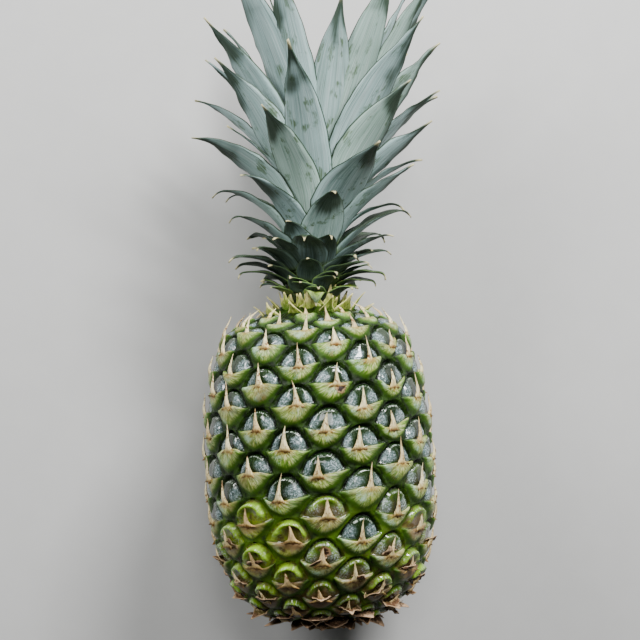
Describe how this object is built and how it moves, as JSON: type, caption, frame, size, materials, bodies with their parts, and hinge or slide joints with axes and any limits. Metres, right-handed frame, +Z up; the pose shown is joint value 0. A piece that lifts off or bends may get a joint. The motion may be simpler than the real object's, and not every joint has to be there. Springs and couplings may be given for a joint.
{
  "type": "pineapple",
  "caption": "Whole fresh pineapple lying on its side: a barrel-shaped fruit of spiral eyes, a leaning crown of stiff channelled leaves and a cut stalk.",
  "frame": {"origin": "centre of the flat patch under the belly that the fruit rests on", "axes": "+Z up from the surface it lies on, +Y along the fruit's axis from its base towards its leaves, +X to the right seen from above with the leaves pointing away"},
  "size_m": [0.1425, 0.3754, 0.1231],
  "materials": {
    "rind": "waxy fruit skin: olive green bracts with pale hairs, dark green domed eyes with a grey bloom, papery tan spines",
    "leaf": "stiff leaf, dark green above, silvery grey-green and finely striped below",
    "crown_stem": "pale green fibrous stem",
    "stalk": "dry cut fibrous stalk"
  },
  "bodies": {
    "root": {"fruit": "rind", "crown_stem": "crown_stem", "cut_stalk": "stalk", "leaf_01": "leaf", "leaf_02": "leaf", "leaf_03": "leaf", "leaf_04": "leaf", "leaf_05": "leaf", "leaf_06": "leaf", "leaf_07": "leaf", "leaf_08": "leaf", "leaf_09": "leaf", "leaf_10": "leaf", "leaf_11": "leaf", "leaf_12": "leaf", "leaf_13": "leaf", "leaf_14": "leaf", "leaf_15": "leaf", "leaf_16": "leaf", "leaf_17": "leaf", "leaf_18": "leaf", "leaf_19": "leaf", "leaf_20": "leaf", "leaf_21": "leaf", "leaf_22": "leaf", "leaf_23": "leaf", "leaf_24": "leaf", "leaf_25": "leaf", "leaf_26": "leaf", "leaf_27": "leaf", "leaf_28": "leaf", "leaf_29": "leaf", "leaf_30": "leaf", "leaf_31": "leaf", "leaf_32": "leaf", "leaf_33": "leaf", "leaf_34": "leaf", "leaf_35": "leaf", "leaf_36": "leaf", "leaf_37": "leaf", "leaf_38": "leaf", "leaf_39": "leaf", "leaf_40": "leaf", "leaf_41": "leaf", "leaf_42": "leaf", "leaf_43": "leaf", "leaf_44": "leaf", "leaf_45": "leaf", "leaf_46": "leaf", "leaf_47": "leaf", "leaf_48": "leaf", "leaf_49": "leaf", "leaf_50": "leaf", "leaf_51": "leaf", "leaf_52": "leaf", "leaf_53": "leaf", "leaf_54": "leaf", "leaf_55": "leaf", "leaf_56": "leaf", "leaf_57": "leaf"}
  },
  "joints": []
}
